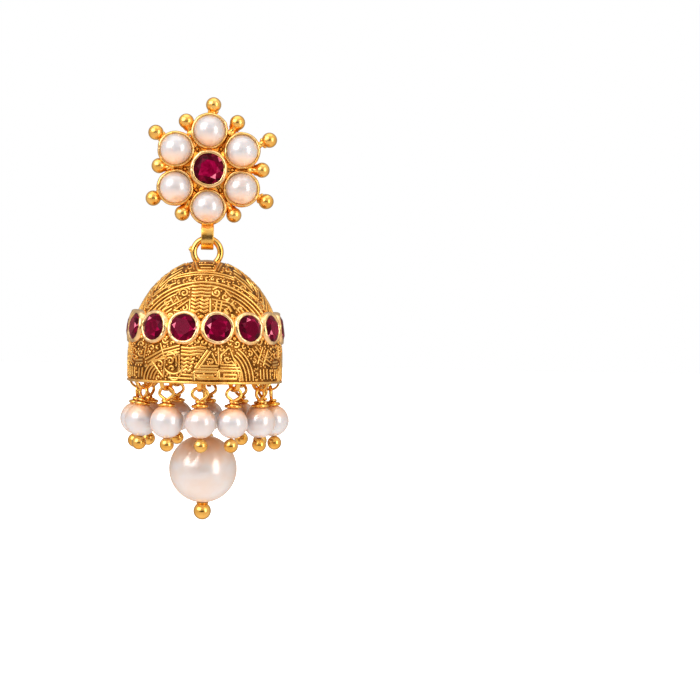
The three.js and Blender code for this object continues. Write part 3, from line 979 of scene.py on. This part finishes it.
def upper_panel():
    """From the crown down to the ruby band: a lunette under a scrolled arch."""
    made = []
    # Crown: bars between spirals, and shoulder lines that run down to the sides
    for d, half in ((0.72, 0.9), (1.12, 0.68)):
        made += line([-half, d], [half, d])
    made += spiral(-2.2, 1.05, 0.5, 200) + spiral(2.9, 1.3, 0.52, 340, -1)
    made += line([-1.75, 0.55], [-1.5, 1.5]) + line([2.0, 0.6], [1.5, 1.5])
    for k in range(3):
        start, bend = [-3.0 - 0.12 * k, 1.15 + 0.42 * k], [-4.6 - 0.1 * k, 2.05 + 0.44 * k]
        made += line(start, bend, [-5.9, 3.2 + 0.45 * k])
        made += line([3.55 + 0.05 * k, 1.35 + 0.42 * k], [5.0, 2.3 + 0.44 * k], [6.0, 3.3 + 0.45 * k])
    # Arched band lines and scrolls over the lunette
    for rise in (1.72, 2.02):
        made += arch(11.2, ARCH_D - rise, -20, 20)
    made += scrolls(-3.7, 3.5, 2.52, 0.3, 0.72)
    made += arch(9.95, 9.95, -44, -21) + arch(9.95, 9.95, 21, 44)
    for side in (-1, 1):
        made += spiral(4.75 * side, 3.72, 0.42, 90 - 70 * side, -side)
        made += spiral(6.9 * side, 5.9, 0.42, 90 - 30 * side, -side)
        made += arch(10.2, 10.1, *sorted((34 * side, 52 * side)))
    # Lunette: nested arches that end where the inner drawing begins
    made += arch(9.0, 9.0, -58, 58)
    for k in range(2, 5):
        for start, end in ((-58, -12 - 6 * k), (12 + 6 * k, 58)):
            made += arch(9.44 - 0.44 * k, 9.44 - 0.42 * k, start, end)
    # Left of the column: a leaf spiral, a triangle with a curl, and bars
    made += spiral(-2.65, 4.45, 0.62, 150)
    made += line([-3.75, 4.75], [-3.1, 3.95], [-2.3, 3.72], [-1.85, 4.0])
    made += outlined([[-3.85, 6.7], [-1.85, 5.25], [-1.85, 6.95]]) + spiral(-2.5, 6.35, 0.42, 300)
    made += line([-5.3, 6.75], [-2.3, 5.05]) + line([-4.9, 7.05], [-4.1, 6.5])
    made += line([-4.35, 5.15], [-3.95, 5.9]) + line([-3.6, 4.95], [-3.25, 5.5])
    made += spiral(-4.9, 5.75, 0.38, 10)
    # Right of the column: paired curls over a fanned ladder
    made += spiral(1.5, 4.35, 0.55, 190, -1) + spiral(2.6, 4.85, 0.46, 20)
    made += line([0.95, 3.95], [1.6, 3.6], [2.5, 3.95], [3.4, 4.85])
    made += line([0.75, 5.15], [0.8, 7.3]) + line([0.95, 5.2], [3.1, 5.6], [4.3, 6.6])
    made += line([1.2, 5.65], [2.9, 6.0]) + line([1.2, 6.1], [2.4, 6.35]) + line([1.2, 6.55], [2.0, 6.8])
    made += line([1.6, 5.4], [1.45, 7.0]) + line([2.2, 5.5], [2.0, 6.9])
    made += spiral(4.6, 6.4, 0.4, 100) + line([3.2, 5.0], [2.7, 5.6]) + line([3.8, 5.3], [3.3, 5.9])
    # Corners by the next panel
    made += hatch([[-7.9, 6.9], [-6.9, 4.9], [-6.4, 5.0], [-7.3, 7.0]], 62)
    made += hatch([[7.7, 6.9], [6.6, 4.9], [6.2, 5.1], [7.1, 7.0]], 118)
    return made


def skirt_bars():
    """The heavy lines of the lower drawing."""
    made = []
    for d in (11.35, 11.78, 12.2):
        made += line([-2.75, d], [-1.6, d + 0.1], [-0.6, d - 0.08], [0.45 - (d - 11.3) * 0.6, d + 0.02])
    for k in range(4):
        made += zigzag(-2.75, -1.0 - 0.15 * k, 12.8 + 0.47 * k, 0.13, 4)
    made += line([0.6, 11.65], [-0.95, 13.95])
    made += key_box(-1.1, 1.85, 14.35, 15.45) + key_box(2.05, 4.75, 14.2, 15.45, True)
    return made


def skirt_panel():
    """From the ruby band down to the rim: bands, triangles, keys and quarter circles."""
    made = []
    # Ladder that rises to the right over quarter circles, with a cross bar
    for k in range(3):
        bend, end = [-5.2, 11.75 + 0.42 * k], [-2.95, 11.1 + 0.42 * k]
        made += line([-7.4 + 0.35 * k, 13.0 + 0.36 * k], bend, end)
    made += line([-5.45, 10.9], [-4.95, 12.6])
    for k in range(4):
        made += arc(-5.0, 15.7, 2.55 - 0.42 * k, 2.9 - 0.4 * k, -88, -28)
    # Triangle with a curl, then two leaf forms and an upright
    made += outlined([[-6.55, 13.15], [-4.8, 12.75], [-5.0, 15.2]]) + spiral(-5.5, 13.55, 0.46, 250)
    made += arc(-4.1, 13.3, 0.75, 1.3, -100, 110) + spiral(-4.15, 13.1, 0.5, 200)
    made += arc(-3.6, 13.6, 1.0, 1.9, 95, 205) + arc(-3.7, 13.4, 1.3, 1.3, 120, 240)
    made += line([-3.0, 12.2], [-3.05, 14.5]) + spiral(-3.55, 12.1, 0.36, 60, -1)
    made += spiral(-4.4, 14.85, 0.36, 60, -1) + line([-4.3, 15.2], [-1.3, 15.25])
    made += line([-2.7, 14.75], [-1.3, 14.85])
    # Right of the slanted bar: a small panel with a curl
    made += line([1.0, 11.75], [-0.5, 13.95]) + line([1.1, 12.0], [1.75, 13.35])
    made += spiral(0.95, 13.1, 0.42, 220) + line([1.9, 11.3], [1.95, 13.5])
    # Lines over the key boxes, with scrolls in the boxes
    made += line([-0.85, 13.62], [1.9, 13.62]) + line([-1.0, 13.98], [1.95, 13.98])
    made += line([2.2, 13.8], [4.6, 13.8])
    made += spiral(-0.35, 15.05, 0.28) + spiral(0.75, 15.1, 0.28) + spiral(3.75, 15.05, 0.3, 180, -1)
    # Triangle with a curl, and quarter circles
    made += outlined([[2.2, 13.4], [2.3, 12.2], [3.25, 11.25], [4.2, 13.5]])
    made += spiral(3.05, 12.75, 0.46, 30) + spiral(2.3, 11.45, 0.32)
    for k in range(5):
        made += arc(2.6, 15.6, 2.0 + 0.44 * k, 3.0 + 0.42 * k, 28, 88)
    # Sides: crossed lines and upright hatch over two level lines
    made += line([6.4, 10.9], [7.6, 12.4], [8.6, 13.2]) + line([6.1, 11.3], [7.2, 12.8], [8.4, 13.6])
    made += line([7.5, 11.2], [6.9, 13.3]) + line([8.2, 11.5], [7.6, 13.6]) + spiral(8.2, 12.2, 0.36, 30)
    made += hatch([[6.9, 13.95], [8.7, 13.95], [8.7, 15.3], [6.9, 15.3]], 86)
    made += hatch([[-8.65, 14.0], [-7.75, 14.0], [-7.6, 15.3], [-8.65, 15.3]], 94)
    made += line([-8.68, 13.55], [-7.7, 13.45]) + line([-8.68, 13.15], [-7.75, 13.05])
    made += spiral(-8.05, 12.2, 0.46, 45) + line([-7.3, 11.0], [-7.6, 12.8]) + spiral(-6.6, 11.5, 0.4, 200)
    return made


def on_bell(path, panel):
    """Points on the bell, and the way out of it, for a drawing seen straight on."""
    z = CROWN_Z - path[:, 1]
    r = bell_radius(z)
    lean = np.clip(path[:, 0] / r, -1, 1)
    angle = math.radians(panel) + np.arcsin(lean)
    slope = (bell_radius(z + 0.01) - bell_radius(z - 0.01)) / 0.02
    points = np.stack([r * np.sin(angle), AXIS_Y - r * np.cos(angle), z], -1)
    out = unit(np.stack([np.sin(angle), -np.cos(angle), -slope], -1))
    kept = np.abs(path[:, 0]) < r * math.sin(math.radians(PANEL_HALF))
    return points, out, kept


band_places = [in_band(degrees) for degrees in band_angles]


def clear_of_bezels(points):
    kept = np.ones(len(points), bool)
    for place in band_places:
        away = points - place[:3, 3]
        depth = away @ place[:3, 2]
        flat = np.linalg.norm(away - depth[:, None] * place[:3, 2], axis=1)
        kept &= (flat > BEZEL_R + 0.06) | (np.abs(depth) > 4)
    return kept


def clear_of_ring(points):
    """Keeps wires away from the two ways that the jump ring takes through the crown."""
    reach = RING_WIRE_R + 0.25
    beside = np.abs(np.abs(points[:, 0]) - RING_R) < reach
    level = np.abs(points[:, 1] - AXIS_Y) < reach
    return ~(beside & level & (points[:, 2] > CROWN_Z - 0.6))


def raised(shape, paths, width, height):
    """Adds half-round wires that lie on the bell, once on each panel."""
    half_round = np.multiply(HALF_ROUND, [width, height])
    section = np.vstack([[-width, -WIRE_ROOT], half_round, [width, -WIRE_ROOT]])
    for panel in PANELS:
        for path in paths:
            points, out, kept = on_bell(path, panel)
            kept &= (path[:, 1] > LEAST_D) & (path[:, 1] < MOST_D)
            kept &= clear_of_bezels(points) & clear_of_ring(points)
            for a, b in runs(kept):
                along = tangents(points[a:b])
                across = unit(np.cross(along, out[a:b]))
                shape.add(sweep(points[a:b], across, out[a:b], section))


def relief(name, bars, wires, low, high, seed):
    """One storey of the wirework: heavy lines, wires, filling curls and grains."""
    filled, grains = with_curls(bars + wires, low, high, seed)
    shape = Shape()
    raised(shape, bars, BAR_W, BAR_H)
    raised(shape, filled[len(bars):], WIRE_W, WIRE_H)
    for panel in PANELS:
        points, out, kept = on_bell(grains, panel)
        points = points - out * (GRAIN_R * 0.6)
        for point in points[kept & clear_of_bezels(points) & clear_of_ring(points)]:
            shape.add(ball(GRAIN_R, 8, 6), move(*point))
    piece(name, shape, WIREWORK, "bell", ["dome"], 70)


relief("bell_relief_upper", upper_bars(), upper_panel(), 0.4, 7.6, 8)
relief("bell_relief_skirt", skirt_bars(), skirt_panel(), 10.4, 15.4, 9)

# Rim: an uneven cord, and the strap eyes that carry the fringe

fringe = named("drop_pin")
fringe_angles = [FRINGE_PHASE + 360 * i / len(fringe) for i in range(len(fringe))]


def strap_eye(outer, thickness, width, legs):
    """A U-shaped strap in the XZ plane, with legs that run up into the metal."""
    radius = outer - thickness / 2
    low_half = bend(radius, math.pi * np.linspace(1, 2, 21))
    path = np.vstack([[-radius, 0, legs], low_half, [radius, 0, legs]])
    across = np.tile([0, 1.0, 0], (len(path), 1))
    up = np.cross(tangents(path), across)
    return sweep(path, across, up, rounded(width, thickness, 0.1))


eyes = Shape()
rim_angle = full_turn(240)
rim_r = BELL_R - 0.12 + waves(rim_angle, 130, 0.012, (3, 8, 21))
rim_z = RIM_Z - 0.04 + waves(rim_angle, 131, 0.035, (5, 9, 16, 31))
rim_path = np.stack([rim_r * np.sin(rim_angle), AXIS_Y - rim_r * np.cos(rim_angle), rim_z], -1)
eyes.add(tube(rim_path, 0.19 + waves(rim_angle, 132, 0.012, (4, 11, 27)), 10, True))
for degrees in fringe_angles:
    eyes.add(strap_eye(EYE_R, EYE_T, EYE_W, 0.3), around(degrees), move(x=FRINGE_R, z=RIM_Z))
hanger_out = HANGER_IN + HANGER_T
hanger_z = CENTRE_LOOP_Z + CENTRE_LOOP_R - 0.31 + HANGER_IN
legs = CROWN_Z - CROWN_WALL - hanger_z
eyes.add(strap_eye(hanger_out, HANGER_T, HANGER_W, legs), ON_AXIS, move(z=hanger_z), turn("Z", 90))
piece("bell_eyes", eyes, WORKED, "bell", ["dome"])

# Fringe pins and pearls, drawn with x pointing out of the bell

pin_top = span("drop_pin_01")[1][2]
loop_z = pin_top - WIRE_R - LOOP_H


def fringe_pin(seed, *places):
    """One wire: up from the pearl, round the loop, and down in two flat turns on the pearl."""
    draws = np.random.default_rng(seed)
    neck_z = loop_z - LOOP_H
    low_z = PEARL_Z + math.sqrt(PEARL_R ** 2 - TURN_R[1] ** 2) + WIRE_R
    path = []
    for step in range(37):
        angle = math.pi * (-0.43 + 1.86 * step / 36)
        pinch = 1 - 0.62 * max(0.0, -math.sin(angle)) ** 2
        path.append([0.0, LOOP_W * pinch * math.cos(angle), loop_z + LOOP_H * math.sin(angle)])
    start = math.pi * draws.uniform(0.95, 1.05)
    wraps = 2.0 + draws.uniform(0, 0.3)
    steps = 56
    for step in range(1, steps + 1):
        share = step / steps
        angle = start + 2 * math.pi * wraps * share + math.pi / 2
        widen = min(1.0, max(0.0, (share - 0.42) / 0.16))
        radius = TURN_R[0] + (TURN_R[1] - TURN_R[0]) * widen
        height = neck_z - 0.12 + (low_z - neck_z + 0.12) * min(1.0, share / 0.6)
        path.append([radius * math.cos(angle), radius * math.sin(angle), height + 0.03 * math.cos(angle)])
    shape = Shape().add(tube(path, WIRE_R, 10), *places)
    stem = [[0, BEAD_Z], [0.17, BEAD_Z], [0.17, neck_z + 0.1], [0, neck_z + 0.1]]
    shape.add(turned(stem, 12), *places)
    core = [[0, low_z - 0.3], [0.5, low_z - 0.3], [0.3, neck_z - 0.1], [0, neck_z]]
    shape.add(turned(core, 16), *places)
    return shape.add(ball(BEAD_R * BEAD_SWELL, 36, 18), *places, move(z=BEAD_Z))


lean_draws = np.random.default_rng(31)
for i, node in enumerate(fringe):
    spin = turn("Z", lean_draws.uniform(-9, 9))
    outward, aside = SWAYS[i]
    sway = move(z=pin_top) @ turn("Y", -outward) @ turn("X", aside) @ move(z=-pin_top)
    place = (around(fringe_angles[i]), move(x=FRINGE_R), sway, spin)
    piece(f"fringe_wire_{i + 1:02d}", fringe_pin(400 + i, *place), POLISHED, "bell", [node])
    round_pearl = ball(PEARL_R * PEARL_SIZES[i], 48, 28, lumpy(450 + i, 0.008, 1))
    pearl = Shape().add(round_pearl, *place, move(z=PEARL_Z))
    node_name = node.replace("pin", "pearl")
    piece(f"fringe_pearl_{i + 1:02d}", pearl, NACRE, "bell", [node_name])

# Centre drop

centre_loop = tube(bend(CENTRE_LOOP_R, full_turn(48)), CENTRE_WIRE_R, 12, True)
pin = Shape().add(centre_loop, ON_AXIS, move(z=CENTRE_LOOP_Z))
loop_foot = CENTRE_LOOP_Z - CENTRE_LOOP_R
stem = [[0, END_BALL_Z], [CENTRE_WIRE_R, END_BALL_Z], [CENTRE_WIRE_R, loop_foot], [0, loop_foot]]
pin.add(turned(stem, 16), ON_AXIS)
coil_angle = np.linspace(0, 2 * math.pi * 2.5, 80)
coil = CENTRE_TURNS_R * np.stack([np.cos(coil_angle), np.sin(coil_angle), 0 * coil_angle], -1)
coil[:, 2] = loop_foot - 0.08 * coil_angle / 2.5
pin.add(tube(coil, 0.16, 8), ON_AXIS)
big_top = BIG_PEARL_Z + BIG_PEARL_R
collar_angle = np.linspace(0, 2 * math.pi * 1.9, 60)
collar_r = np.interp(collar_angle, [0, 6, 12], [CENTRE_TURNS_R, 0.72, 0.74])
collar_z = big_top + 0.62 - 0.034 * collar_angle
collar = np.stack([collar_r * np.cos(collar_angle), collar_r * np.sin(collar_angle), collar_z], -1)
pin.add(tube(collar, 0.19, 8), ON_AXIS)
washer_top = END_BALL_Z + END_BALL_R - 0.25 + WASHER_T
washer = [[0, washer_top], [WASHER_R - 0.14, washer_top], [WASHER_R, washer_top - 0.12]]
washer += [[WASHER_R - 0.06, washer_top - 0.22], [0.55, washer_top - WASHER_T], [0, washer_top - WASHER_T]]
pin.add(turned(washer, 48), ON_AXIS)
pin.add(ball(END_BALL_R, 56, 28), ON_AXIS, move(z=END_BALL_Z))
piece("centre_wire", pin, POLISHED, "centre", ["centre_pin"])

big = Shape().add(ball(BIG_PEARL_R, 96, 56, lumpy(77, 0.004)), ON_AXIS, move(z=BIG_PEARL_Z))
piece("centre_drop_pearl", big, NACRE_BIG, "centre", ["centre_pearl"])

# Stage: a pale floor far below, and a bright surround that is dim in front, where the viewer stands


def pale_floor():
    made, tree, shader = start_material("pale_floor")
    tint = ramp(tree, noise(tree, 6, 2), [(0.3, (0.93, 0.93, 0.93)), (0.7, (0.95, 0.95, 0.95))])
    fill(shader, {"Base Color": tint, "Roughness": 0.9})
    fill(shader, {"Emission Color": (1, 1, 1, 1), "Emission Strength": 0.85})
    return made


def make_floor():
    mesh = bpy.data.meshes.new("floor")
    sides = [(-1, -1), (1, -1), (1, 1), (-1, 1)]
    mesh.from_pydata([(x * FLOOR_HALF, y * FLOOR_HALF, FLOOR_Z) for x, y in sides], [], [(0, 1, 2, 3)])
    mesh.materials.append(pale_floor())
    floor = in_scene("floor", mesh)
    floor.visible_glossy = False


def make_world():
    world = bpy.data.worlds.new("studio")
    world.use_nodes = True
    tree = world.node_tree
    tree.nodes.clear()
    way = new_node(tree, "SeparateXYZ", {"Vector": coordinates(tree, "Generated")}).outputs
    height = rescaled(tree, way["Z"], 0, 1, -1, 1)
    front = rescaled(tree, way["Y"], 1, 0, -1.0, -0.62)
    back = rescaled(tree, way["Y"], 0, 1, 0.1, 0.8)
    ahead = mixed(tree, front, ramp(tree, height, SIDES), ramp(tree, height, IN_FRONT))
    room = new_node(tree, "Background", {"Color": mixed(tree, back, ahead, BEHIND)})
    white = new_node(tree, "Background", {"Color": (1, 1, 1, 1)})
    path = new_node(tree, "LightPath", {})
    choose = new_node(tree, "MixShader", {"Fac": path.outputs["Is Camera Ray"]})
    fill(choose, {1: room.outputs["Background"], 2: white.outputs["Background"]})
    new_node(tree, "OutputWorld", {"Surface": choose.outputs["Shader"]})
    bpy.context.scene.world = world


def softbox(name, azimuth, elevation, distance, width, height, power, colour=(1, 1, 1)):
    """A soft light that looks at the jewel. Azimuth counts from the front towards +X."""
    data = bpy.data.lights.new(name, "AREA")
    data.shape = "RECTANGLE"
    data.size, data.size_y, data.energy, data.color = width, height, power, colour
    light = in_scene(name, data)
    light.visible_camera = False
    a, e = math.radians(azimuth), math.radians(elevation)
    back = Vector((math.sin(a) * math.cos(e), -math.cos(a) * math.cos(e), math.sin(e)))
    light.location = Vector(LIT_PLACE) + back * distance
    light.rotation_mode = "QUATERNION"
    light.rotation_quaternion = back.to_track_quat("Z", "Y")


def make_camera():
    data = bpy.data.cameras.new("camera")
    data.lens = CAMERA_LENS
    data.sensor_width = 36
    data.clip_start, data.clip_end = 0.01, 20
    camera = in_scene("camera", data)
    turned_by = turn("Z", -CAMERA_YAW) @ turn("X", 90 + CAMERA_PITCH) @ turn("Z", CAMERA_ROLL)
    camera.matrix_world = Matrix(move(*(MM * v for v in CAMERA_PLACE)) @ turned_by)
    bpy.context.scene.camera = camera


make_floor()
make_world()
softbox("key", -48, 30, 0.5, 0.4, 0.36, 1.5, (0.97, 0.98, 1))
softbox("fill", 46, 8, 0.55, 0.2, 0.42, 1.0, (1, 0.97, 0.93))
softbox("top", 0, 84, 0.5, 0.5, 0.4, 0.5)
make_camera()
bpy.context.scene.view_settings.view_transform = "Standard"
